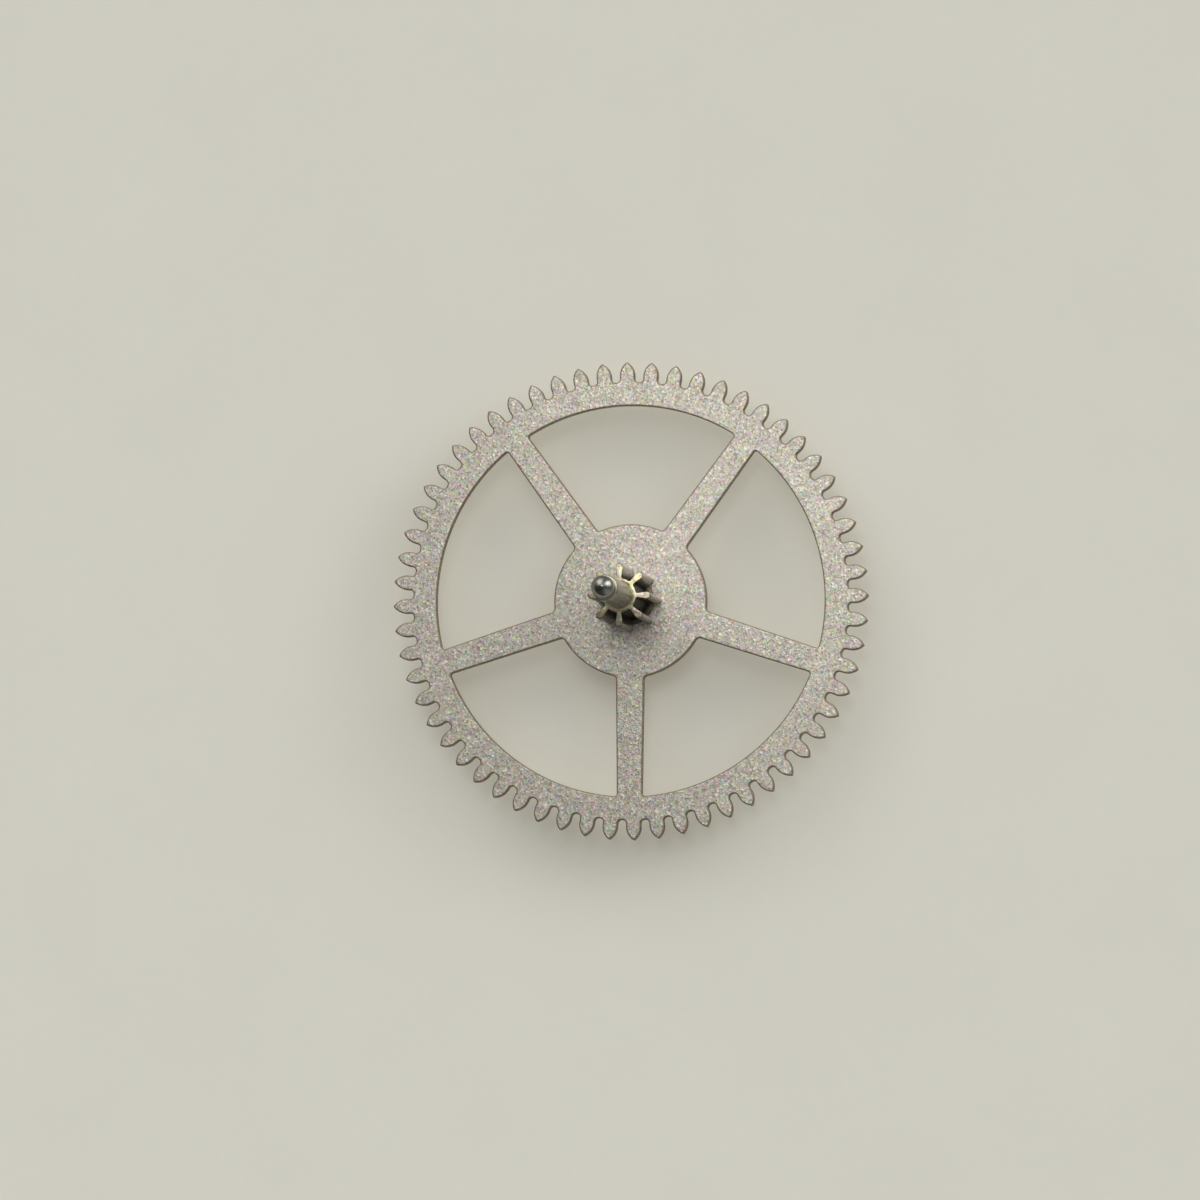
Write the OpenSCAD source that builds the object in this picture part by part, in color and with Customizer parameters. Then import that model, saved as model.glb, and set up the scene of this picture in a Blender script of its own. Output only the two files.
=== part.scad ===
// Third wheel of a small mechanical watch.
// A thin spoked wheel with cycloidal teeth is riveted on a steel pinion that is one piece with
// its arbor and both pivots.
//
// Units are millimetres and degrees. The arbor stands along +Z with its long end up, the origin
// is the lowest point of the lower pivot, and one spoke points along -Y.

/* [Wheel teeth] */
// Number of teeth on the wheel
wheel_teeth = 60; // [50:5:75]
// Module of the wheel: its pitch diameter over its number of teeth
wheel_module = 0.1; // [0.085:0.005:0.12]
// Height of a tooth above the pitch circle, in modules
wheel_addendum = 1.52; // [1.2:0.01:1.6]
// Depth of a tooth space below the pitch circle, in modules
wheel_dedendum = 1.15; // [1:0.01:1.6]
// Height at which the straight flanks end and the ogive starts, from the pitch circle, in modules
wheel_flank_end = -0.3; // [-0.5:0.01:0]
// Thickness of a tooth where its flanks end, in modules
wheel_tooth_thickness = 1.9; // [1.4:0.01:2]
// Radius at the foot of a tooth
wheel_foot_round = 0.05; // [0.02:0.005:0.07]
// Angle from the middle of a spoke to the nearest tooth
tooth_phase = 1.08; // [-3:0.01:3]

/* [Wheel body] */
// Thickness of the wheel's sheet
wheel_thickness = 0.14; // [0.1:0.01:0.2]
// Width of the rim, from the tooth roots to the windows
rim_width = 0.309; // [0.15:0.001:0.45]
// Diameter of the hub
hub_diameter = 2.018; // [1.4:0.01:3]
// Number of spokes
spokes = 5; // [3:1:6]
// Width of a spoke where it meets the hub
spoke_width_hub = 0.365; // [0.2:0.005:0.6]
// Width of a spoke where it meets the rim
spoke_width_rim = 0.33; // [0.2:0.005:0.6]
// Radius in the window corners at the hub
hub_corner_round = 0.06; // [0.02:0.005:0.12]
// Radius in the window corners at the rim
rim_corner_round = 0.035; // [0.02:0.005:0.12]

/* [Pinion] */
// Number of leaves on the pinion
pinion_leaves = 8; // [7:1:12]
// Module of the pinion: its pitch diameter over its number of leaves
pinion_module = 0.09; // [0.08:0.005:0.12]
// Height of a leaf above the pitch circle, in modules
pinion_addendum = 0.67; // [0.5:0.01:0.9]
// Depth of a leaf space below the pitch circle, in modules
pinion_dedendum = 1.48; // [1.2:0.01:1.7]
// Thickness of a leaf at the pitch circle, in modules
pinion_leaf_thickness = 1.05; // [0.8:0.01:1.2]
// Radius at the foot of a leaf
leaf_foot_round = 0.02; // [0.01:0.005:0.04]
// Length of the leaves above the wheel
pinion_length = 1.02; // [0.6:0.01:1.4]
// Bevel on the upper end of the leaf tips
leaf_end_bevel = 0.015; // [0.005:0.005:0.04]

/* [Rivet] */
// Step from the leaf tips in to the turned seat that the wheel sits on
seat_step = 0.115; // [0.1:0.005:0.15]
// Gap all round between the seat and the hole in the wheel
seat_clearance = 0.002; // [0:0.001:0.01]
// Depth of the countersink on the wheel's underside
countersink_depth = 0.04; // [0.02:0.005:0.08]
// Spread of the riveted leaf ends beyond the seat
rivet_spread = 0.04; // [0.02:0.005:0.06]
// Height of the rivet below the wheel's underside
rivet_height = 0.03; // [0.01:0.005:0.06]

/* [Arbor and pivots] */
// Diameter of the upper arbor at the pinion
upper_arbor_foot = 0.36; // [0.35:0.005:0.4]
// Diameter of the upper arbor at the pivot's shoulder, after its slight taper
upper_arbor_end = 0.34; // [0.32:0.005:0.36]
// Length of the arbor from the pinion to the upper pivot's shoulder
upper_arbor_length = 1.32; // [0.6:0.01:1.8]
// Diameter of the lower arbor at the rivet
lower_arbor_foot = 0.36; // [0.35:0.005:0.4]
// Diameter of the lower arbor at the pivot's shoulder, after its slight taper
lower_arbor_end = 0.34; // [0.32:0.005:0.36]
// Length of the arbor from the wheel's underside to the lower pivot's shoulder
lower_arbor_length = 0.21; // [0.12:0.01:0.4]
// Diameter of the upper pivot
upper_pivot_diameter = 0.29; // [0.2:0.01:0.3]
// Length of the upper pivot with its domed end
upper_pivot_length = 0.3; // [0.22:0.01:0.6]
// Diameter of the lower pivot
lower_pivot_diameter = 0.29; // [0.2:0.01:0.3]
// Length of the lower pivot with its domed end
lower_pivot_length = 0.3; // [0.22:0.01:0.6]
// Height of the dome on the end of each pivot
pivot_dome = 0.09; // [0.04:0.01:0.1]
// Bevel on the edge of each pivot shoulder
shoulder_bevel = 0.01; // [0.005:0.001:0.012]
// Flare of the upper arbor where it leaves the pinion's face
arbor_flare = 0.025; // [0.01:0.005:0.04]
// Height of that flare
arbor_flare_height = 0.05; // [0.02:0.01:0.1]

/* [Hidden] */

// Fineness of true round surfaces, and of the arcs within an outline
$fn = 96;
foot_arc_steps = 3;
ogive_arc_steps = 4;
corner_arc_steps = 4;
window_arc_steps = 16;
land_arc_steps = 2;
// Largest part of a full round that the foot rounds of a tooth space may take up
foot_share = 0.95;
// Overlap of cutting shapes past the faces that they cut
past = 0.05;
turn = 360;
first_spoke = -90;

wheel_pitch_r = wheel_module * wheel_teeth / 2;
wheel_tip_r = wheel_pitch_r + wheel_addendum * wheel_module;
wheel_root_r = wheel_pitch_r - wheel_dedendum * wheel_module;
wheel_flank_r = wheel_pitch_r + wheel_flank_end * wheel_module;
wheel_half_tooth = asin(wheel_tooth_thickness * wheel_module / 2 / wheel_flank_r);
rim_inner_r = wheel_root_r - rim_width;
hub_r = hub_diameter / 2;
spoke_pitch = turn / spokes;

pinion_pitch_r = pinion_module * pinion_leaves / 2;
pinion_tip_r = pinion_pitch_r + pinion_addendum * pinion_module;
pinion_root_r = pinion_pitch_r - pinion_dedendum * pinion_module;
pinion_half_leaf = asin(pinion_leaf_thickness * pinion_module / 2 / pinion_pitch_r);
leaf_phase = first_spoke;
seat_r = pinion_tip_r - seat_step;
rivet_r = seat_r + rivet_spread;

// Levels along the arbor, from the lower pivot's end up
wheel_bottom_z = lower_pivot_length + lower_arbor_length;
wheel_top_z = wheel_bottom_z + wheel_thickness;
rivet_bottom_z = wheel_bottom_z - rivet_height;
countersink_z = wheel_bottom_z + countersink_depth;
pinion_top_z = wheel_top_z + pinion_length;
upper_shoulder_z = pinion_top_z + upper_arbor_length;
top_z = upper_shoulder_z + upper_pivot_length;

echo(tip_diameter = 2 * wheel_tip_r, height = top_z);

function polar(r, angle) = r * [cos(angle), sin(angle)];
function angle_of(p) = atan2(p.y, p.x);
function last_index(list) = len(list) - 1;
function reversed(list) = [for (i = [last_index(list) : -1 : 0]) list[i]];
function without_last(list) = [for (i = [0 : last_index(list) - 1]) list[i]];
function without_first(list) = [for (i = [1 : last_index(list)]) list[i]];
function turned(points, angle) = [for (p = points) polar(norm(p), angle_of(p) + angle)];
// Mirror image across the ray at an angle, in reverse order so that an outline runs on
function mirrored(points, angle) =
    reversed([for (p = points) polar(norm(p), 2 * angle - angle_of(p))]);
function arc(centre, r, from, to, steps) =
    [for (i = [0 : steps]) centre + polar(r, from + (to - from) * i / steps)];

// Radius of the arc that runs on from the end of a radial flank and reaches the tooth's centre
// line at the tip circle
function ogive_radius(flank_r, tip_r, half_angle) =
    let (foot = polar(flank_r, half_angle), rise = tip_r - foot.x)
    (rise * rise + foot.y * foot.y) / (2 * (rise * sin(half_angle) + foot.y * cos(half_angle)));

// Radius of the round that fills the whole bottom of a tooth space
function full_round(root_r, half_space) = root_r * sin(half_space) / (1 - sin(half_space));

// The clockwise half of one tooth centred on +X: foot round, radial flank and ogive up to the tip
function half_tooth(flank_r, tip_r, root_r, half_angle, foot_round) =
    let (
        foot_angle = half_angle + asin(foot_round / (root_r + foot_round)),
        foot_centre = polar(root_r + foot_round, -foot_angle),
        ogive_r = ogive_radius(flank_r, tip_r, half_angle),
        ogive_centre = polar(flank_r, -half_angle) + polar(ogive_r, 90 - half_angle),
        to_tip = angle_of([tip_r, 0] - ogive_centre)
    )
    concat(
        arc(foot_centre, foot_round, 180 - foot_angle, 90 - half_angle, foot_arc_steps),
        arc(ogive_centre, ogive_r, -90 - half_angle, to_tip, ogive_arc_steps)
    );

// One pitch of a toothed outline: a whole tooth and the bottom of the space that follows it
function one_pitch(pitch, flank_r, tip_r, root_r, half_angle, foot_round) =
    let (
        half = half_tooth(flank_r, tip_r, root_r, half_angle, foot_round),
        land_from = -angle_of(half[0]),
        land = arc([0, 0], root_r, land_from, pitch - land_from, land_arc_steps)
    )
    concat(half, without_first(mirrored(half, 0)), without_first(without_last(land)));

// Toothed outline with radial flanks and pointed ogive tips, as cut in watch wheels and pinions
module toothed_outline(teeth, flank_r, tip_r, root_r, half_angle, foot_round) {
    pitch = turn / teeth;
    foot_limit = foot_share * full_round(root_r, pitch / 2 - half_angle);
    outline = one_pitch(pitch, flank_r, tip_r, root_r, half_angle, min(foot_round, foot_limit));
    polygon([for (i = [0 : teeth - 1]) each turned(outline, i * pitch)]);
}

// Distance along a line, from p in direction u, at which it crosses the circle of radius r
function reach(p, u, r) = let (along = p * u) sqrt(r * r - p * p + along * along) - along;

// Outline of one window between two spokes, with the first spoke centred on +X.
// Each corner's round touches the spoke's side and the hub or the rim.
module window_outline() {
    side_start = [hub_r, spoke_width_hub / 2];
    side_end = [rim_inner_r, spoke_width_rim / 2];
    u = (side_end - side_start) / norm(side_end - side_start);
    n = [-u.y, u.x];
    hub_line = side_start + hub_corner_round * n;
    rim_line = side_start + rim_corner_round * n;
    hub_corner = hub_line + u * reach(hub_line, u, hub_r + hub_corner_round);
    rim_corner = rim_line + u * reach(rim_line, u, rim_inner_r - rim_corner_round);
    to_side = angle_of(n) - 180;
    first_side = concat(
        arc(hub_corner, hub_corner_round, angle_of(hub_corner) - 180, to_side, corner_arc_steps),
        arc(rim_corner, rim_corner_round, to_side, angle_of(rim_corner), corner_arc_steps)
    );
    half_pitch = spoke_pitch / 2;
    rim_arc = arc([0, 0], rim_inner_r, angle_of(rim_corner),
        spoke_pitch - angle_of(rim_corner), window_arc_steps);
    hub_arc = arc([0, 0], hub_r, spoke_pitch - angle_of(hub_corner),
        angle_of(hub_corner), window_arc_steps);
    polygon(concat(
        first_side,
        without_first(without_last(rim_arc)),
        mirrored(first_side, half_pitch),
        without_first(without_last(hub_arc))
    ));
}

// Round hole for the seat, opened by a countersink on the underside for the rivet
module seat_hole() {
    hole_r = seat_r + seat_clearance;
    slope = rivet_spread / countersink_depth;
    translate([0, 0, wheel_bottom_z - past])
        cylinder(h = wheel_thickness + 2 * past, r = hole_r);
    translate([0, 0, wheel_bottom_z - past])
        cylinder(h = countersink_depth + past, r1 = hole_r + rivet_spread + past * slope, r2 = hole_r);
}

// The spoked wheel, stamped from sheet with its teeth cut after
module spoked_wheel() {
    color([0.68, 0.65, 0.61])
    difference() {
        translate([0, 0, wheel_bottom_z])
        linear_extrude(wheel_thickness)
        difference() {
            rotate(first_spoke + tooth_phase)
                toothed_outline(wheel_teeth, wheel_flank_r, wheel_tip_r, wheel_root_r,
                    wheel_half_tooth, wheel_foot_round);
            for (i = [0 : spokes - 1])
                rotate(first_spoke + i * spoke_pitch) window_outline();
        }
        seat_hole();
    }
}

// Outside of the pinion before its leaves are cut: the full body above the wheel, the seat
// turned down to pass through the wheel, and the end spread over by the riveting punch
module turned_blank() {
    body_r = pinion_tip_r + past;
    rotate_extrude()
    polygon([
        [0, rivet_bottom_z],
        [rivet_r, rivet_bottom_z],
        [rivet_r, wheel_bottom_z],
        [seat_r, countersink_z],
        [seat_r, wheel_top_z],
        [body_r, wheel_top_z],
        [body_r, pinion_top_z - leaf_end_bevel - past],
        [pinion_tip_r - leaf_end_bevel, pinion_top_z],
        [0, pinion_top_z]
    ]);
}

module leaves() {
    intersection() {
        turned_blank();
        translate([0, 0, rivet_bottom_z - past])
        linear_extrude(pinion_top_z - rivet_bottom_z + 2 * past)
        rotate(leaf_phase)
            toothed_outline(pinion_leaves, pinion_pitch_r, pinion_tip_r, pinion_root_r,
                pinion_half_leaf, leaf_foot_round);
    }
}

// A pivot that stands on z = 0 and ends in a dome
module pivot(diameter, length) {
    r = diameter / 2;
    dome_r = (r * r + pivot_dome * pivot_dome) / (2 * pivot_dome);
    cylinder(h = length - pivot_dome, r = r);
    translate([0, 0, length - pivot_dome])
    intersection() {
        translate([0, 0, pivot_dome - dome_r]) sphere(r = dome_r);
        translate([0, 0, pivot_dome])
            cube([2 * diameter, 2 * diameter, 2 * pivot_dome], center = true);
    }
}

// A length of arbor that stands on z = 0, tapers upwards and ends in a bevelled shoulder
module arbor(foot, end, length) {
    cylinder(h = length - shoulder_bevel, d1 = foot, d2 = end);
    translate([0, 0, length - shoulder_bevel])
        cylinder(h = shoulder_bevel, d1 = end, d2 = end - 2 * shoulder_bevel);
}

// The pinion with its arbor and pivots, all one piece of steel
module pinion_arbor() {
    color([0.5, 0.48, 0.44])
    union() {
        leaves();
        translate([0, 0, pinion_top_z]) {
            arbor(upper_arbor_foot, upper_arbor_end, upper_arbor_length);
            cylinder(h = arbor_flare_height, d1 = upper_arbor_foot + 2 * arbor_flare,
                d2 = upper_arbor_end);
        }
        translate([0, 0, upper_shoulder_z]) pivot(upper_pivot_diameter, upper_pivot_length);
        translate([0, 0, wheel_bottom_z]) mirror([0, 0, 1])
            arbor(lower_arbor_foot, lower_arbor_end, lower_arbor_length);
        translate([0, 0, lower_pivot_length]) mirror([0, 0, 1])
            pivot(lower_pivot_diameter, lower_pivot_length);
    }
}

spoked_wheel();
pinion_arbor();
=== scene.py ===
# A watch's third wheel: the frosted spoked wheel and the polished steel pinion with its arbor.
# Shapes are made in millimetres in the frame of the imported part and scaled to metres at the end.
import math

import bpy
from mathutils import Matrix, Vector, geometry


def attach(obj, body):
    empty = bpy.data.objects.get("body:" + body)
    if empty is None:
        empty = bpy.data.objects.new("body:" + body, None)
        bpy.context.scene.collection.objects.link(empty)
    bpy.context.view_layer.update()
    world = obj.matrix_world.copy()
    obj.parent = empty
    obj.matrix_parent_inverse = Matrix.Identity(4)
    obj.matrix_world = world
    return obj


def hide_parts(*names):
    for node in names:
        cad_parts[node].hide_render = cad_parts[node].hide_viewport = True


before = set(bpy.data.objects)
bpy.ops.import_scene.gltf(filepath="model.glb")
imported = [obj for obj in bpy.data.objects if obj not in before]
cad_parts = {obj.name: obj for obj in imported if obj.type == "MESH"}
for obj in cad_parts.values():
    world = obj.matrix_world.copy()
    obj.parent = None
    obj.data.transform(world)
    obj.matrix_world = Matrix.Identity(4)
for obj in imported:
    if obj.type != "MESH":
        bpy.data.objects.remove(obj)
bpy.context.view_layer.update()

MM = 0.001
FULL_TURN = 360

# Sizes of the wheel, in millimetres and degrees, as in the part's source
WHEEL_TEETH = 60
WHEEL_TIP_R = 3.152
WHEEL_ROOT_R = 2.885
WHEEL_FLANK_R = 2.97
WHEEL_HALF_TOOTH = math.degrees(math.asin(0.095 / WHEEL_FLANK_R))
WHEEL_FOOT_ROUND = 0.05
TOOTH_PHASE = 1.08
SPOKES = 5
HUB_R = 1.009
RIM_INNER_R = 2.576
SPOKE_WIDTH_HUB = 0.365
SPOKE_WIDTH_RIM = 0.33
HUB_CORNER_ROUND = 0.06
RIM_CORNER_ROUND = 0.035
FIRST_SPOKE = -90
WHEEL_BOTTOM = 0.51
WHEEL_TOP = 0.65
COUNTERSINK_TOP = 0.55

# Sizes of the pinion and its arbor
LEAVES = 8
PINION_PITCH_R = 0.36
PINION_TIP_R = 0.4203
PINION_ROOT_R = 0.2268
PINION_HALF_LEAF = math.degrees(math.asin(0.04725 / PINION_PITCH_R))
LEAF_FOOT_ROUND = 0.02
SEAT_R = 0.3053
HOLE_R = 0.3073
RIVET_R = 0.3453
RIVET_BOTTOM = 0.48
PINION_TOP = 1.67
UPPER_SHOULDER = 2.99
LOWER_SHOULDER = 0.30
ARBOR_FOOT_R = 0.18
ARBOR_END_R = 0.17
ARBOR_FLARE = 0.025
SHOULDER_BEVEL = 0.01
PIVOT_R = 0.145
PIVOT_DOME = 0.09
TOP = 3.29
BODY = "root"


# Plane geometry

def polar(r, angle):
    a = math.radians(angle)
    return Vector((r * math.cos(a), r * math.sin(a)))


def angle_of(p):
    return math.degrees(math.atan2(p.y, p.x))


ORIGIN = Vector((0, 0))


def arc(centre, r, start, end, steps):
    return [centre + polar(r, start + (end - start) * i / steps) for i in range(steps + 1)]


def unit_circle(steps):
    return arc(ORIGIN, 1.0, 0, FULL_TURN, steps)[:-1]


def turned(points, angle):
    return [polar(p.length, angle_of(p) + angle) for p in points]


def mirrored(points, angle):
    return [polar(p.length, 2 * angle - angle_of(p)) for p in reversed(points)]


def ogive(flank_r, tip_r, half_angle):
    """Radius and centre of the arc from the end of the straight flank to the tooth's tip."""
    flank_end = polar(flank_r, half_angle)
    rise = tip_r - flank_end.x
    a = math.radians(half_angle)
    chord_squared = rise * rise + flank_end.y * flank_end.y
    r = chord_squared / (2 * (rise * math.sin(a) + flank_end.y * math.cos(a)))
    return r, polar(flank_r, -half_angle) + polar(r, 90 - half_angle)


def half_width(r, flank_r, tip_r, half_angle):
    """Half of a tooth's width at radius r, as an angle."""
    if r <= flank_r:
        return half_angle
    arc_r, centre = ogive(flank_r, tip_r, half_angle)
    d = centre.length
    reach = (r * r + d * d - arc_r * arc_r) / (2 * r * d)
    return math.degrees(math.acos(max(-1.0, min(1.0, reach)))) - angle_of(centre)


def tooth_ring(teeth, sizes, end_r, phase, steps):
    """Closed outline of a toothed piece whose teeth are cut off at end_r.

    It has the same number of points for any end_r, so rings at several heights join up.
    """
    flank_r, tip_r, root_r, half_angle, foot_round = sizes
    foot_steps, flank_steps, land_steps, root_steps = steps
    foot_angle = half_angle + math.degrees(math.asin(foot_round / (root_r + foot_round)))
    foot_centre = polar(root_r + foot_round, -foot_angle)
    foot = arc(foot_centre, foot_round, 180 - foot_angle, 90 - half_angle, foot_steps)
    flank_start = foot[-1].length
    side = []
    for i in range(1, flank_steps + 1):
        r = flank_start + (end_r - flank_start) * i / flank_steps
        side.append(polar(r, -half_width(r, flank_r, tip_r, half_angle)))
    half = foot + side
    land_half = -angle_of(half[-1])
    land = arc(ORIGIN, end_r, -land_half, land_half, land_steps)[1:-1]
    pitch = FULL_TURN / teeth
    root_from = -angle_of(half[0])
    root = arc(ORIGIN, root_r, root_from, pitch - root_from, root_steps)[1:-1]
    one = half + land + mirrored(half, 0) + root
    return [p for i in range(teeth) for p in turned(one, phase + i * pitch)]


# Steps along a window's corner rounds, its side at the rim and its side at the hub
CORNER_STEPS, RIM_STEPS, HUB_STEPS = 8, 72, 32


def window_ring():
    """Outline of one window between two spokes, with the first spoke along +X."""
    side_start = Vector((HUB_R, SPOKE_WIDTH_HUB / 2))
    side_end = Vector((RIM_INNER_R, SPOKE_WIDTH_RIM / 2))
    along_side = (side_end - side_start).normalized()
    off_side = Vector((-along_side.y, along_side.x))

    def reach(p, r):
        along = p.dot(along_side)
        return p + along_side * (math.sqrt(r * r - p.dot(p) + along * along) - along)

    hub_corner = reach(side_start + HUB_CORNER_ROUND * off_side, HUB_R + HUB_CORNER_ROUND)
    rim_corner = reach(side_start + RIM_CORNER_ROUND * off_side, RIM_INNER_R - RIM_CORNER_ROUND)
    to_side = angle_of(off_side) - 180
    pitch = FULL_TURN / SPOKES
    hub_angle = angle_of(hub_corner)
    rim_angle = angle_of(rim_corner)
    first = arc(hub_corner, HUB_CORNER_ROUND, hub_angle - 180, to_side, CORNER_STEPS)
    first += arc(rim_corner, RIM_CORNER_ROUND, to_side, rim_angle, CORNER_STEPS)
    rim = arc(ORIGIN, RIM_INNER_R, rim_angle, pitch - rim_angle, RIM_STEPS)
    hub = arc(ORIGIN, HUB_R, pitch - hub_angle, hub_angle, HUB_STEPS)
    return first + rim[1:-1] + mirrored(first, pitch / 2) + hub[1:-1]


# An inset point moves at most this many times the distance, so that sharp corners stay whole
SHARPEST_MOVE = 1.6


def inset(points, distance):
    """The loop moved by distance to its left, which is into the material for a loop that keeps
    the material on its left."""
    if not distance:
        return list(points)
    moved = []
    count = len(points)
    for i, p in enumerate(points):
        before = (p - points[i - 1]).normalized()
        after = (points[(i + 1) % count] - p).normalized()
        middle = Vector((-before.y - after.y, before.x + after.x))
        size = middle.length
        middle.normalize()
        moved.append(p + middle * (distance * min(SHARPEST_MOVE, 2 / max(size, 0.01))))
    return moved


# Meshes

class Shell:
    """Collects vertices and faces for one piece, in millimetres."""

    def __init__(self):
        self.points = []
        self.faces = []
        self.kinds = []
        self.edge_marks = []

    def point(self, x, y, z, mark=0.0):
        """Adds a vertex and gives its number. The mark says how much it belongs to an edge, where the face
        is painted darker as shade.
        """
        self.points.append((x, y, z))
        self.edge_marks.append(mark)
        return len(self.points) - 1

    def ring(self, points, z, mark=1.0):
        """Adds a loop of vertices. z is one height, or a function of the radius."""
        return [self.point(p.x, p.y, z(p.length) if callable(z) else z, mark) for p in points]

    def face(self, corners, kind):
        self.faces.append(tuple(corners))
        self.kinds.append(kind)

    def strip(self, low, high, kind):
        """Joins two rings with quads. The faces look out to the right of the loop's direction."""
        count = len(low)
        for i in range(count):
            j = (i + 1) % count
            self.face((low[i], low[j], high[j], high[i]), kind)

    def stack(self, rings, kind):
        for low, high in zip(rings, rings[1:]):
            self.strip(low, high, kind)

    def lathe(self, circle, profile, kind):
        """A turned surface from pairs of radius and height. Gives its rings."""
        made = [self.ring([p * r for p in circle], z) for r, z in profile]
        self.stack(made, kind)
        return made

    def fan(self, ring, z, up, kind):
        """Closes a ring with triangles to a point on the axis."""
        tip = self.point(0, 0, z)
        for i, corner in enumerate(ring):
            pair = (corner, ring[(i + 1) % len(ring)])
            self.face((*(pair if up else reversed(pair)), tip), kind)

    def cap(self, outer, holes, up, kind, inner=(), z=None):
        """Fills the area between a ring of vertices and the rings of its holes, with extra points
        inside it at heights that z gives for their radius."""
        ids = []
        flat = []
        areas = []
        for loop in (outer, *holes):
            flat_loop = [Vector(self.points[i][:2]) for i in loop]
            area = range(len(flat), len(flat) + len(loop))
            turning = sum(a.cross(b) for a, b in zip(flat_loop, flat_loop[1:] + flat_loop[:1]))
            areas.append(list(area) if turning > 0 else list(reversed(area)))
            flat += flat_loop
            ids += loop
        for p in inner:
            flat.append(p)
            ids.append(self.point(p.x, p.y, z(p.length)))
        made = geometry.delaunay_2d_cdt(flat, [], areas, 1, 1e-7)
        for face, within in zip(made[2], made[5]):
            if within != [0]:
                continue
            corners = [ids[made[3][v][0]] for v in face]
            self.face(corners if up else reversed(corners), kind)

    def build(self, name, materials, flat_kinds=(), sharp_angle=35):
        mesh = bpy.data.meshes.new(name)
        mesh.from_pydata(self.points, [], self.faces)
        for m in materials:
            mesh.materials.append(m)
        mesh.polygons.foreach_set("material_index", self.kinds)
        mesh.polygons.foreach_set("use_smooth", [k not in flat_kinds for k in self.kinds])
        mark = mesh.attributes.new("edge", "FLOAT", "POINT")
        mark.data.foreach_set("value", self.edge_marks)
        mesh.transform(Matrix.Scale(MM, 4))
        mesh.update()
        mesh.validate()
        mesh.set_sharp_from_angle(angle=math.radians(sharp_angle))
        piece = bpy.data.objects.new(name, mesh)
        bpy.context.scene.collection.objects.link(piece)
        return piece


# Steps of a quarter round: how far in from the wall, and how far from the face, as shares
QUARTER = [(0.0, 1.0), (0.076, 0.617), (0.293, 0.293), (0.617, 0.076), (1.0, 0.0)]

# The wheel

SIDE, TOP_FACE, UNDER_FACE = 0, 1, 2
EDGE_ROUND = 0.008
HOLE_BEVEL = 0.004
# The countersink's mouth opens a little more in its last stretch
MOUTH_SPREAD = 0.006
MOUTH_DEPTH = 0.002
# Each tooth ends in a narrow land, this far inside the point where its two sides would meet
WHEEL_TIP_CUT = 0.004
# The darker edge tint, painted shade of the edges, fades out across this band, which is wider at the tooth
# tips
MARK_BAND = 0.03
TIP_BAND = 1.3 * MARK_BAND
TIP_BAND_CUT = 0.002
# Steps along a tooth's foot round, one side, its land and the tooth space
WHEEL_STEPS = (6, 12, 4, 3)
HOLE_STEPS = 144


def wheel_loops():
    """The wheel's outline and its windows, each with the loop on which its painted edge shade ends."""
    phase = FIRST_SPOKE + TOOTH_PHASE
    sizes = (WHEEL_FLANK_R, WHEEL_TIP_R, WHEEL_ROOT_R, WHEEL_HALF_TOOTH, WHEEL_FOOT_ROUND)
    outer = tooth_ring(WHEEL_TEETH, sizes, WHEEL_TIP_R - WHEEL_TIP_CUT, phase, WHEEL_STEPS)
    narrower = math.degrees(MARK_BAND / WHEEL_FLANK_R)
    band_tip_r = WHEEL_TIP_R - TIP_BAND
    band_sizes = (WHEEL_FLANK_R, band_tip_r, WHEEL_ROOT_R - MARK_BAND,
                  WHEEL_HALF_TOOTH - narrower, WHEEL_FOOT_ROUND + MARK_BAND)
    band = tooth_ring(WHEEL_TEETH, band_sizes, band_tip_r - TIP_BAND_CUT, phase, WHEEL_STEPS)
    loops = [(outer, band)]
    window = window_ring()
    for i in range(SPOKES):
        loop = list(reversed(turned(window, FIRST_SPOKE + i * FULL_TURN / SPOKES)))
        loops.append((loop, inset(loop, MARK_BAND)))
    return loops


def wheel_piece(materials):
    """The spoked wheel: teeth, windows and the countersunk hole, with softened edges."""
    shell = Shell()
    tops = []
    unders = []
    for loop, band in wheel_loops():
        rings = [shell.ring(band, WHEEL_BOTTOM, 0.0)]
        for side, rise in reversed(QUARTER):
            rings.append(shell.ring(inset(loop, side * EDGE_ROUND), WHEEL_BOTTOM + rise * EDGE_ROUND))
        for side, rise in QUARTER:
            rings.append(shell.ring(inset(loop, side * EDGE_ROUND), WHEEL_TOP - rise * EDGE_ROUND))
        rings.append(shell.ring(band, WHEEL_TOP, 0.0))
        shell.strip(rings[0], rings[1], UNDER_FACE)
        shell.stack(rings[1:-1], SIDE)
        shell.strip(rings[-2], rings[-1], TOP_FACE)
        unders.append(rings[0])
        tops.append(rings[-1])
    circle = list(reversed(unit_circle(HOLE_STEPS)))
    mouth_r = HOLE_R + RIVET_R - SEAT_R
    hole = shell.lathe(circle, [
        (mouth_r + MOUTH_SPREAD, WHEEL_BOTTOM),
        (mouth_r, WHEEL_BOTTOM + MOUTH_DEPTH),
        (HOLE_R, COUNTERSINK_TOP),
        (HOLE_R, WHEEL_TOP - HOLE_BEVEL),
        (HOLE_R + HOLE_BEVEL, WHEEL_TOP),
    ], SIDE)
    hole_band = shell.ring([p * (HOLE_R + MARK_BAND) for p in circle], WHEEL_TOP, 0.0)
    shell.strip(hole[-1], hole_band, TOP_FACE)
    shell.cap(tops[0], tops[1:] + [hole_band], True, TOP_FACE)
    shell.cap(unders[0], unders[1:] + [hole[0]], False, UNDER_FACE)
    return shell.build("spoked_wheel_frosted", materials, flat_kinds=(TOP_FACE, UNDER_FACE))


# The pinion with its arbor

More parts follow.
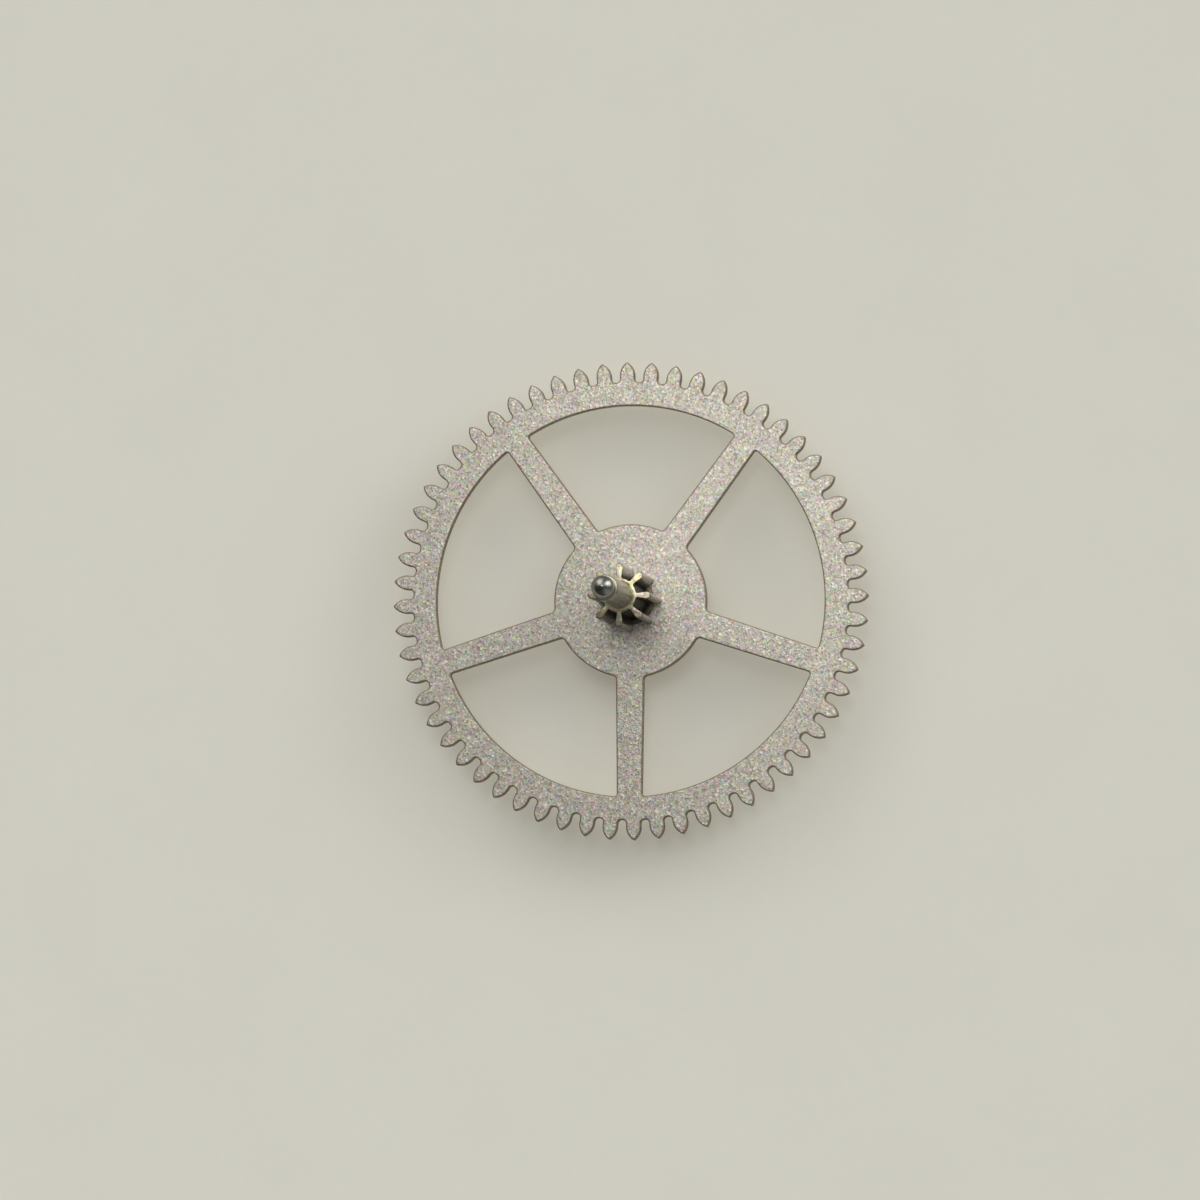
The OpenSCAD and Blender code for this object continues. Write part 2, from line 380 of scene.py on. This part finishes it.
LEAF, END_FACE, ARBOR, PIVOT = 0, 1, 2, 3
LEAF_SIZES = (PINION_PITCH_R, PINION_TIP_R, PINION_ROOT_R, PINION_HALF_LEAF, LEAF_FOOT_ROUND)
LEAF_STEPS = (5, 10, 4, 4)
LEAF_TIP_CUT = 0.003
LEAF_EDGE_ROUND = 0.006
LEAF_TIP_ROUND = 0.008
# The leaves stand this far clear of the wheel's face
LEAF_GAP = 0.0005
LEAF_LEVELS = 6
# The straight stretch of the leaves ends this far below the pinion's end. At the leaf tips the
# first ring of the bevel is lower than that, so the wall folds back by 0.017 mm there.
LEVELS_BELOW_TOP = 0.024
END_BEVEL = 0.012
END_DROP = 0.03
# Rings of extra points on the leaf ends, and how much of a leaf's width they span
END_RINGS = (0.235, 0.265, 0.295, 0.325, 0.355, 0.38)
END_RING_SHARE = 0.72
GROOVES = 8
GROOVE_PITCH = 0.024
# One turning groove: shares of its pitch, and the depth there
GROOVE = ((0.25, 0.0004), (0.5, 0.0022), (0.75, 0.0004), (1.0, 0.0))
GROOVE_FROM = PINION_TOP + 2 * ARBOR_FLARE
BEVEL_BULGE = 0.35 * SHOULDER_BEVEL
PIVOT_FILLET = 0.004
PIVOT_LEVELS = 3
# The pivots' ends: a small round middle on a dome whose rim is steeper
DOME_MIDDLE_R = 0.03
DOME_MIDDLE_DROP = 0.0105
DOME_CURVE = 1.65
DOME_RIM_CURVE = 29
DOME_STEPS = 20
ARBOR_STEPS = 128
# The lower arbor widens a little just under the rivet
LOWER_FOOT_SPREAD = 0.008
LOWER_FOOT_HEIGHT = 0.01
# The shallow ring that the punch leaves in the rivet: distance from the arbor's foot, and depth
PUNCHED_RING = ((0.03, 0.002), (0.05, 0.012), (0.075, 0.012), (0.095, 0.002))
RIVET_ROUND = 0.012
SEAT_BEVEL = 0.004
SEAT_PROUD = 0.003


def crown(r):
    """Height of the pinion's polished end, which falls away a little to the leaf tips."""
    share = max(0.0, (r - ARBOR_FOOT_R) / (PINION_TIP_R - ARBOR_FOOT_R))
    return PINION_TOP - END_DROP * share * share


def dome_drop(r):
    """How far the burnished end of a pivot has fallen away at radius r: a small round middle on
    a dome that steepens to its rim. At the pivot's own radius it is just under PIVOT_DOME."""
    middle = DOME_MIDDLE_DROP * (math.hypot(1.0, r / DOME_MIDDLE_R) - 1)
    return middle + DOME_CURVE * r ** 2 + DOME_RIM_CURVE * r ** 4


def arbor_r(z):
    """Radius of the tapered upper arbor."""
    length = UPPER_SHOULDER - SHOULDER_BEVEL - GROOVE_FROM
    return ARBOR_FOOT_R + (ARBOR_END_R - ARBOR_FOOT_R) * (z - GROOVE_FROM) / length


def leaf_ring(end_r, side=0.0):
    cut_r = min(end_r, PINION_TIP_R - LEAF_TIP_CUT)
    return inset(tooth_ring(LEAVES, LEAF_SIZES, cut_r, FIRST_SPOKE, LEAF_STEPS), side)


def add_leaves(shell):
    """The leaves' walls from the wheel's face to the bevel of their upper end. Gives the rings."""
    low = WHEEL_TOP + LEAF_EDGE_ROUND
    rings = [
        shell.ring(leaf_ring(PINION_TIP_R - LEAF_EDGE_ROUND, LEAF_EDGE_ROUND / 2),
                   WHEEL_TOP + LEAF_GAP),
        shell.ring(leaf_ring(PINION_TIP_R), low),
    ]
    for i in range(1, LEAF_LEVELS + 1):
        z = low + (PINION_TOP - LEVELS_BELOW_TOP - low) * i / LEAF_LEVELS
        rings.append(shell.ring(leaf_ring(PINION_TIP_R), z))
    for side, rise in QUARTER:
        loop = leaf_ring(PINION_TIP_R - side * LEAF_TIP_ROUND, side * LEAF_EDGE_ROUND)
        rings.append(shell.ring(loop, lambda r, rise=rise: crown(r) - rise * END_BEVEL))
    shell.stack(rings, LEAF)
    return rings


def upper_arbor_profile():
    """The turned grooves by the pinion, then the plain taper up to the shoulder's bevel."""
    profile = [(ARBOR_FOOT_R, GROOVE_FROM)]
    for i in range(GROOVES):
        for share, depth in GROOVE:
            z = GROOVE_FROM + (i + share) * GROOVE_PITCH
            profile.append((arbor_r(z) - depth, z))
    plain_from = profile[-1][1]
    plain_steps = 8
    for i in range(1, plain_steps + 1):
        z = plain_from + (UPPER_SHOULDER - SHOULDER_BEVEL - plain_from) * i / plain_steps
        profile.append((arbor_r(z), z))
    return profile


def flare_profile():
    """The rounded foot of the upper arbor on the pinion's end."""
    profile = [(ARBOR_FOOT_R + ARBOR_FLARE, crown(ARBOR_FOOT_R + ARBOR_FLARE))]
    for angle in range(15, 90, 15):
        t = math.radians(angle)
        r = ARBOR_FOOT_R + ARBOR_FLARE * (1 - math.sin(t))
        profile.append((r, PINION_TOP + 2 * ARBOR_FLARE * (1 - math.cos(t))))
    return profile


def dome_profile():
    """Radius of the pivot's end and how far it has fallen away there, from the middle out."""
    radii = [PIVOT_R * math.sin(math.radians(90 * i / DOME_STEPS)) for i in range(1, DOME_STEPS)]
    return [(r, dome_drop(r)) for r in radii]


def add_upper_arbor(shell, circle):
    """The upper arbor from the pinion's end to the pivot's dome. Gives its lowest ring."""
    foot = shell.lathe(circle, flare_profile(), END_FACE)
    upper = shell.lathe(circle, upper_arbor_profile(), ARBOR)
    shell.strip(foot[-1], upper[0], END_FACE)
    shoulder = shell.lathe(circle, [
        (ARBOR_END_R - BEVEL_BULGE, UPPER_SHOULDER - BEVEL_BULGE),
        (ARBOR_END_R - SHOULDER_BEVEL, UPPER_SHOULDER),
        (PIVOT_R + PIVOT_FILLET, UPPER_SHOULDER),
        (PIVOT_R, UPPER_SHOULDER + PIVOT_FILLET),
    ], ARBOR)
    low = UPPER_SHOULDER + PIVOT_FILLET
    length = TOP - PIVOT_DOME - low
    pivot = [(PIVOT_R, low + length * i / PIVOT_LEVELS) for i in range(1, PIVOT_LEVELS + 1)]
    pivot += [(r, TOP - drop) for r, drop in reversed(dome_profile())]
    upper_pivot = shell.lathe(circle, pivot, PIVOT)
    shell.strip(upper[-1], shoulder[0], ARBOR)
    shell.strip(shoulder[-1], upper_pivot[0], PIVOT)
    shell.fan(upper_pivot[-1], TOP, True, PIVOT)
    return foot[0]


def add_lower_arbor(shell, circle):
    """The lower pivot and arbor, the rivet and the seat, listed from the lowest point up."""
    pivot = dome_profile()
    length = LOWER_SHOULDER - PIVOT_FILLET - PIVOT_DOME
    pivot += [(PIVOT_R, PIVOT_DOME + length * i / PIVOT_LEVELS) for i in range(PIVOT_LEVELS + 1)]
    pivot.append((PIVOT_R + PIVOT_FILLET, LOWER_SHOULDER))
    lower_pivot = shell.lathe(circle, pivot, PIVOT)
    lower = shell.lathe(circle, [
        (ARBOR_END_R - SHOULDER_BEVEL, LOWER_SHOULDER),
        (ARBOR_END_R - BEVEL_BULGE, LOWER_SHOULDER + BEVEL_BULGE),
        (ARBOR_END_R, LOWER_SHOULDER + SHOULDER_BEVEL),
        (ARBOR_FOOT_R, RIVET_BOTTOM - LOWER_FOOT_HEIGHT),
        (ARBOR_FOOT_R + LOWER_FOOT_SPREAD, RIVET_BOTTOM),
    ], ARBOR)
    punched = [(ARBOR_FOOT_R + out, RIVET_BOTTOM + depth) for out, depth in PUNCHED_RING]
    seat = shell.lathe(circle, punched + [
        (RIVET_R - RIVET_ROUND, RIVET_BOTTOM),
        (RIVET_R - RIVET_ROUND / 3, RIVET_BOTTOM + RIVET_ROUND / 4),
        (RIVET_R, RIVET_BOTTOM + RIVET_ROUND),
        (RIVET_R, WHEEL_BOTTOM),
        (SEAT_R, COUNTERSINK_TOP),
        (SEAT_R, WHEEL_TOP),
        (SEAT_R - SEAT_BEVEL, WHEEL_TOP + SEAT_PROUD),
    ], LEAF)
    shell.strip(lower_pivot[-1], lower[0], ARBOR)
    shell.strip(lower[-1], seat[0], END_FACE)
    shell.fan(lower_pivot[0], 0, False, PIVOT)
    shell.fan(seat[-1], WHEEL_TOP + SEAT_PROUD, True, LEAF)


def leaf_end_points():
    """Points on the leaf ends that let the cap follow the crown."""
    points = []
    for r in END_RINGS:
        half = half_width(r, PINION_PITCH_R, PINION_TIP_R, PINION_HALF_LEAF) * END_RING_SHARE
        for i in range(LEAVES):
            middle = FIRST_SPOKE + i * FULL_TURN / LEAVES
            points += [polar(r, middle - half), polar(r, middle), polar(r, middle + half)]
    return points


def pinion_piece(materials):
    """Leaves, seat and rivet, and the arbor with both pivots. The leaves with the upper arbor are
    one closed shell, and what lies below them is another that reaches into it."""
    shell = Shell()
    circle = unit_circle(ARBOR_STEPS)
    rings = add_leaves(shell)
    arbor_foot = add_upper_arbor(shell, circle)
    add_lower_arbor(shell, circle)
    shell.cap(rings[-1], [arbor_foot], True, END_FACE, leaf_end_points(), crown)
    shell.cap(rings[0], [], False, LEAF)
    return shell.build("pinion_and_arbor_steel", materials, sharp_angle=40)


# Materials

def srgb(r, g, b):
    """A colour as it is seen, from 0 to 255, as the shader's linear numbers."""
    out = []
    for c in (r, g, b):
        c /= 255
        out.append(c / 12.92 if c <= 0.04045 else ((c + 0.055) / 1.055) ** 2.4)
    return (*out, 1.0)


def feed(tree, socket, value):
    """Links a socket to another one's output, or gives it a constant."""
    if isinstance(value, bpy.types.NodeSocket):
        tree.links.new(value, socket)
    else:
        socket.default_value = value


class Nodes:
    """Short calls for building a material's node tree."""

    def __init__(self, name):
        self.material = bpy.data.materials.new(name)
        self.material.use_nodes = True
        self.tree = self.material.node_tree
        self.shader = self.tree.nodes["Principled BSDF"]

    def add(self, kind, inputs=(), **settings):
        node = self.tree.nodes.new(kind)
        for key, value in settings.items():
            setattr(node, key, value)
        for key, value in dict(inputs).items():
            feed(self.tree, node.inputs[key], value)
        return node

    def math(self, operation, a, b=0.0):
        return self.add("ShaderNodeMath", {0: a, 1: b}, operation=operation).outputs[0]

    def mix(self, share, a, b, blend="MIX"):
        node = self.add("ShaderNodeMix", data_type="RGBA", blend_type=blend)
        for key, value in (("Factor_Float", share), ("A_Color", a), ("B_Color", b)):
            feed(self.tree, next(s for s in node.inputs if s.identifier == key), value)
        return next(s for s in node.outputs if s.identifier == "Result_Color")

    def ramp(self, value, stops):
        node = self.add("ShaderNodeValToRGB", {"Fac": value})
        ramp = node.color_ramp
        while len(ramp.elements) < len(stops):
            ramp.elements.new(0.5)
        for element, (at, colour) in zip(ramp.elements, stops):
            element.position = at
            element.color = colour if hasattr(colour, "__len__") else (colour, colour, colour, 1.0)
        return node.outputs[0]

    def place(self):
        return self.add("ShaderNodeTexCoord").outputs["Object"]

    def stretched(self, where, scale):
        return self.add("ShaderNodeMapping", {"Vector": where, "Scale": scale}).outputs[0]

    def split(self, where):
        return self.add("ShaderNodeSeparateXYZ", {"Vector": where}).outputs

    def from_axis(self, where):
        """Distance from the arbor's axis, in metres."""
        x, y, _ = self.split(where)
        return self.math("SQRT", self.math("ADD", self.math("MULTIPLY", x, x), self.math("MULTIPLY", y, y)))

    def uneven(self, value, noise, amount):
        """The value, moved up and down by a noise."""
        return self.math("ADD", value, self.math("MULTIPLY", self.math("SUBTRACT", noise, 0.5), amount))

    def noise(self, where, size_mm, detail=2.0, rough=0.5):
        return self.add("ShaderNodeTexNoise", {
            "Vector": where, "Scale": 1 / (size_mm * MM), "Detail": detail, "Roughness": rough,
        })

    def cells(self, where, size_mm):
        return self.add("ShaderNodeTexVoronoi", {"Vector": where, "Scale": 1 / (size_mm * MM)})

    def bump(self, height, strength, distance_mm, normal=None):
        inputs = {"Height": height, "Strength": strength, "Distance": distance_mm * MM}
        if normal is not None:
            inputs["Normal"] = normal
        return self.add("ShaderNodeBump", inputs).outputs[0]

    def set(self, **values):
        for key, value in values.items():
            feed(self.tree, self.shader.inputs[key.replace("_", " ")], value)
        return self.material


DISH_DEGREES = 2.0
MID_GREY = (0.5, 0.5, 0.5, 1.0)


def frosted_nickel():
    """Matt frosted plating: fine grain whose facets differ in tone and tint. The sheet is dished a
    little, so that its face leans outwards all round."""
    n = Nodes("frosted_nickel")
    at = n.place()
    grain = n.cells(at, 0.024)
    facets = n.add("ShaderNodeSeparateColor", {"Color": grain.outputs["Color"]}).outputs[0]
    fine = n.noise(at, 0.016, 3.0, 0.65).outputs[0]
    patches = n.noise(at, 0.35, 3.0, 0.55).outputs[0]
    base = n.mix(patches, srgb(191, 184, 172), srgb(205, 199, 187))
    tint = n.mix(0.21, MID_GREY, n.cells(at, 0.027).outputs["Color"])
    colour = n.mix(1.0, base, tint, "OVERLAY")
    tone = n.ramp(facets, [(0.0, 0.46), (0.2, 0.68), (0.7, 0.87), (0.9, 1.0), (1.0, 1.3)])
    colour = n.mix(0.9, colour, tone, "MULTIPLY")
    dark = n.ramp(fine, [(0.3, 0.66), (0.62, 1.0)])
    colour = n.mix(0.7, colour, dark, "MULTIPLY")
    # A darker brown band along every edge of the face: painted shade of the edges.
    edge = n.add("ShaderNodeAttribute", attribute_name="edge").outputs["Fac"]
    painted_edge_shade = n.ramp(n.uneven(edge, fine, 0.5), [(0.45, 0.0), (0.8, 0.8)])
    colour = n.mix(painted_edge_shade, colour, srgb(112, 101, 84))
    rough = n.ramp(fine, [(0.3, 0.36), (0.7, 0.44)])
    fall = -math.tan(math.radians(DISH_DEGREES)) / MM
    leaning = n.bump(n.math("MULTIPLY", n.from_axis(at), fall), 1.0, 1.0)
    height = n.math("ADD", n.math("MULTIPLY", grain.outputs["Distance"], 0.6), fine)
    return n.set(Base_Color=colour, Metallic=1.0, Roughness=rough,
                 Normal=n.bump(height, 0.3, 0.006, leaning))


def wheel_wall():
    """The cut walls of the teeth and windows and their edges: browner than the frosted face, and painted
    darker for the shade they show.
    """
    n = Nodes("wheel_wall")
    streaks = n.noise(n.stretched(n.place(), (1, 1, 0.15)), 0.02, 2.0).outputs[0]
    # Painted shade: the walls are coloured dark brown.
    colour = n.ramp(streaks, [(0.3, srgb(110, 99, 83)), (0.7, srgb(146, 133, 113))])
    return n.set(Base_Color=colour, Metallic=1.0, Roughness=0.45, Normal=n.bump(streaks, 0.3, 0.003))


def brass_underside():
    """Plain brass with fine straight brushing, not plated like the upper face."""
    n = Nodes("brass_underside")
    at = n.place()
    lines = n.noise(n.stretched(at, (0.06, 1, 1)), 0.015, 3.0).outputs[0]
    clouds = n.noise(at, 0.5, 3.0).outputs[0]
    colour = n.mix(clouds, srgb(222, 196, 104), srgb(236, 212, 128))
    shade = n.ramp(lines, [(0.3, 0.82), (0.7, 1.0)])
    colour = n.mix(0.7, colour, shade, "MULTIPLY")
    return n.set(Base_Color=colour, Metallic=1.0, Roughness=0.32, Normal=n.bump(lines, 0.35, 0.003))


def polished_leaves():
    """Polished steel leaves, painted dark as shade down in the spaces between them, and rougher there."""
    n = Nodes("polished_leaves")
    at = n.place()
    lines = n.noise(n.stretched(at, (1, 1, 0.05)), 0.012, 3.0).outputs[0]
    clouds = n.noise(at, 0.08, 3.0).outputs[0]
    radius = n.math("MULTIPLY", n.from_axis(at), 1 / (0.45 * MM))
    # Painted shade: the steel turns nearly black toward the roots of the leaves, down in the spaces, and is
    # rougher there.
    painted_root_shade = n.ramp(n.uneven(radius, clouds, 0.2), [(0.56, 1.0), (0.78, 0.0)])
    steel = n.mix(clouds, srgb(126, 119, 104), srgb(156, 148, 130))
    colour = n.mix(n.math("MULTIPLY", painted_root_shade, 0.93), steel, srgb(38, 33, 25))
    rough = n.math("ADD", n.ramp(lines, [(0.3, 0.14), (0.7, 0.24)]), n.math("MULTIPLY", painted_root_shade, 0.3))
    return n.set(Base_Color=colour, Metallic=1.0, Roughness=rough, Normal=n.bump(lines, 0.12, 0.002))


def leaf_ends():
    """The worn end of the pinion: mottled olive steel, with the faint circles of its lapping."""
    n = Nodes("leaf_ends")
    at = n.place()
    rings = n.add("ShaderNodeTexWave", {
        "Vector": at, "Scale": 1 / (0.2 * MM), "Distortion": 0.6, "Detail": 2.0, "Detail Scale": 3.0,
    }, wave_type="RINGS", rings_direction="Z").outputs[1]
    clouds = n.noise(at, 0.05, 4.0, 0.6).outputs[0]
    straw = n.noise(at, 0.16, 2.0).outputs[1]
    mottled = [(0.3, srgb(132, 122, 96)), (0.5, srgb(184, 175, 147)), (0.75, srgb(222, 214, 192))]
    colour = n.mix(0.25, n.ramp(clouds, mottled), straw, "OVERLAY")
    return n.set(Base_Color=colour, Metallic=1.0, Roughness=0.36,
                 Normal=n.bump(n.mix(0.6, rings, clouds), 0.3, 0.004))


def turned_arbor():
    """The arbor's steel, with fine turning lines round it and a straw tint near the pinion."""
    n = Nodes("turned_arbor")
    at = n.place()
    lines = n.noise(n.stretched(at, (0.05, 0.05, 1)), 0.008, 3.0, 0.6).outputs[0]
    clouds = n.noise(at, 0.1, 3.0).outputs[0]
    height = n.math("DIVIDE", n.split(at)[2], TOP * MM)
    straw = n.ramp(n.uneven(height, clouds, 0.05), [(0.525, 1.0), (0.585, 0.0)])
    steel = n.mix(clouds, srgb(140, 133, 117), srgb(174, 166, 149))
    colour = n.mix(n.math("MULTIPLY", straw, 0.7), steel, srgb(196, 176, 134))
    shade = n.ramp(lines, [(0.3, 0.66), (0.7, 1.0)])
    colour = n.mix(0.7, colour, shade, "MULTIPLY")
    rough = n.ramp(lines, [(0.3, 0.16), (0.7, 0.28)])
    return n.set(Base_Color=colour, Metallic=1.0, Roughness=rough, Anisotropic=0.6,
                 Anisotropic_Rotation=0.25, Normal=n.bump(lines, 0.3, 0.003))


def burnished_pivot():
    """The hard burnished pivots: the smoothest steel of the part."""
    n = Nodes("burnished_pivot")
    at = n.place()
    marks = n.noise(at, 0.03, 4.0, 0.6).outputs[0]
    lines = n.noise(n.stretched(at, (0.05, 0.05, 1)), 0.006, 2.0).outputs[0]
    colour = n.ramp(marks, [(0.3, srgb(112, 112, 106)), (0.7, srgb(136, 135, 129))])
    rough = n.ramp(marks, [(0.35, 0.12), (0.7, 0.2)])
    return n.set(Base_Color=colour, Metallic=1.0, Roughness=rough, Normal=n.bump(lines, 0.06, 0.001))


# The paper's own faint glow, which stands for light seeping through it, and the factor on the paper's
# colour that goes with it
PAPER_GLOW = 0.25
PAPER_SHADE = 0.83


def paper():
    """The pale paper under the part. It glows faintly by itself, standing for light that seeps through the
    sheet, which softens the shadows.
    """
    n = Nodes("paper")
    at = n.place()
    soft = n.noise(at, 1.6, 3.0, 0.5).outputs[0]
    fibre = n.noise(at, 0.12, 3.0, 0.6).outputs[0]
    colour = n.mix(soft, srgb(204, 202, 192), srgb(208, 206, 196))
    colour = n.mix(0.25, colour, n.ramp(fibre, [(0.3, 0.96), (0.7, 1.0)]), "MULTIPLY")
    shaded = n.mix(1.0, colour, (PAPER_SHADE, PAPER_SHADE, PAPER_SHADE, 1.0), "MULTIPLY")
    return n.set(Base_Color=shaded, Roughness=0.95, Specular_IOR_Level=0.0,
                 Emission_Color=colour, Emission_Strength=PAPER_GLOW,
                 Normal=n.bump(fibre, 0.08, 0.004))


# The pieces

wheel = wheel_piece([wheel_wall(), frosted_nickel(), brass_underside()])
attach(wheel, BODY)
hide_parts("spoked_wheel")
pinion = pinion_piece([polished_leaves(), leaf_ends(), turned_arbor(), burnished_pivot()])
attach(pinion, BODY)
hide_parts("pinion_arbor")

# The stage: a level sheet of paper that curves up far from the part

FLOOR_Z = -0.0025
FLAT_R = 110
RISE_R = 170
FLOOR_RINGS = 13
FLOOR_RING_STEP = 9
FLOOR_STEPS = 96


def floor_height(r):
    return FLOOR_Z + 0.5 * max(0.0, r - FLAT_R) ** 2 / RISE_R


def paper_sheet():
    points = [(0.0, 0.0, FLOOR_Z * MM)]
    for k in range(FLOOR_RINGS):
        r = FLAT_R + FLOOR_RING_STEP * k
        for i in range(FLOOR_STEPS):
            p = polar(r, FULL_TURN * i / FLOOR_STEPS)
            points.append((p.x * MM, p.y * MM, floor_height(r) * MM))
    faces = []
    for i in range(FLOOR_STEPS):
        j = (i + 1) % FLOOR_STEPS
        faces.append((0, 1 + i, 1 + j))
        for k in range(FLOOR_RINGS - 1):
            low = 1 + k * FLOOR_STEPS
            high = low + FLOOR_STEPS
            faces.append((low + i, high + i, high + j, low + j))
    mesh = bpy.data.meshes.new("paper")
    mesh.from_pydata(points, [], faces)
    mesh.polygons.foreach_set("use_smooth", [True] * len(mesh.polygons))
    mesh.materials.append(paper())
    sheet = bpy.data.objects.new("paper", mesh)
    bpy.context.scene.collection.objects.link(sheet)
    return sheet


paper_sheet()

# Light: five soft windows in a dim room

# Elevation, angle to the right, spread, brightness in the middle, and colour. Two stand low beyond
# the top of the picture, the third is high, the compact fourth lights the wheel's face, and the dim
# last one, at the lower right, keeps the side views from going dark.
WINDOWS = [
    (27, -28, 19.0, 3.22, (1.0, 0.99, 0.96)),
    (23, 57, 12.6, 5.80, (0.96, 0.99, 1.0)),
    (67, 42, 13.7, 1.50, (1.0, 1.0, 0.99)),
    (76, 2, 6.0, 5.80, (1.0, 1.0, 0.99)),
    (15, 135, 20.0, 0.60, (1.0, 1.0, 0.98)),
]
ROOM = 0.1


def from_above(elevation, right):
    """Direction to a light, by its height over the paper and how far it stands right of the top
    of the picture."""
    e = math.radians(elevation)
    a = math.radians(right)
    return Vector((math.cos(e) * math.sin(a), math.cos(e) * math.cos(a), math.sin(e)))


def light_the_room():
    """Each window is a round glow that fades by the angle from its middle."""
    world = bpy.data.worlds.new("surround")
    world.use_nodes = True
    bpy.context.scene.world = world
    tree = world.node_tree
    direction = tree.nodes.new("ShaderNodeTexCoord").outputs["Generated"]

    def add(kind, operation, *inputs):
        node = tree.nodes.new(kind)
        node.operation = operation
        for socket, value in zip(node.inputs, inputs):
            feed(tree, socket, value)
        return node

    total = (ROOM, ROOM, ROOM)
    for elevation, right, spread, bright, colour in WINDOWS:
        sharpness = 1 / math.radians(spread) ** 2
        middle = from_above(elevation, right)
        near = add("ShaderNodeVectorMath", "DOT_PRODUCT", direction, middle).outputs["Value"]
        fall = add("ShaderNodeMath", "MULTIPLY_ADD", near, sharpness, -sharpness).outputs[0]
        glow = add("ShaderNodeMath", "EXPONENT", fall).outputs[0]
        tinted = add("ShaderNodeVectorMath", "SCALE", [c * bright for c in colour])
        tree.links.new(glow, tinted.inputs["Scale"])
        total = add("ShaderNodeVectorMath", "ADD", tinted.outputs[0], total).outputs[0]
    background = tree.nodes["Background"]
    tree.links.new(total, background.inputs["Color"])
    background.inputs["Strength"].default_value = 1.0


light_the_room()

# The camera's directions: it leans a little off the arbor's axis, as in the photograph

LEAN = math.radians(9.3)
TOWARDS = math.radians(26.6)
UP = Vector((0, 0, 1))
downhill = Vector((math.cos(TOWARDS), -math.sin(TOWARDS), 0))
level = Vector((math.sin(TOWARDS), math.cos(TOWARDS), 0))
slope = math.cos(LEAN) * downhill - math.sin(LEAN) * UP
to_camera = math.sin(LEAN) * downhill + math.cos(LEAN) * UP
image_right = math.cos(TOWARDS) * slope + math.sin(TOWARDS) * level
image_up = -math.sin(TOWARDS) * slope + math.cos(TOWARDS) * level

# The picture's width at the wheel, and where its middle lies from the wheel's, in millimetres
PICTURE_WIDTH = 15.77
MIDDLE_LEFT = 0.396
MIDDLE_UP = 0.0105

camera_data = bpy.data.cameras.new("camera")
camera_data.lens = 400
camera_data.sensor_width = 36
camera_data.clip_start = 0.001
camera_data.clip_end = 5
distance = PICTURE_WIDTH * camera_data.lens / camera_data.sensor_width * MM
aim = (WHEEL_TOP * UP - MIDDLE_LEFT * image_right + MIDDLE_UP * image_up) * MM
view_axes = Matrix((image_right, image_up, to_camera)).transposed().to_4x4()
camera = bpy.data.objects.new("camera", camera_data)
camera.matrix_world = Matrix.Translation(aim + to_camera * distance) @ view_axes
bpy.context.scene.collection.objects.link(camera)
bpy.context.scene.camera = camera
bpy.context.scene.view_settings.view_transform = "Standard"
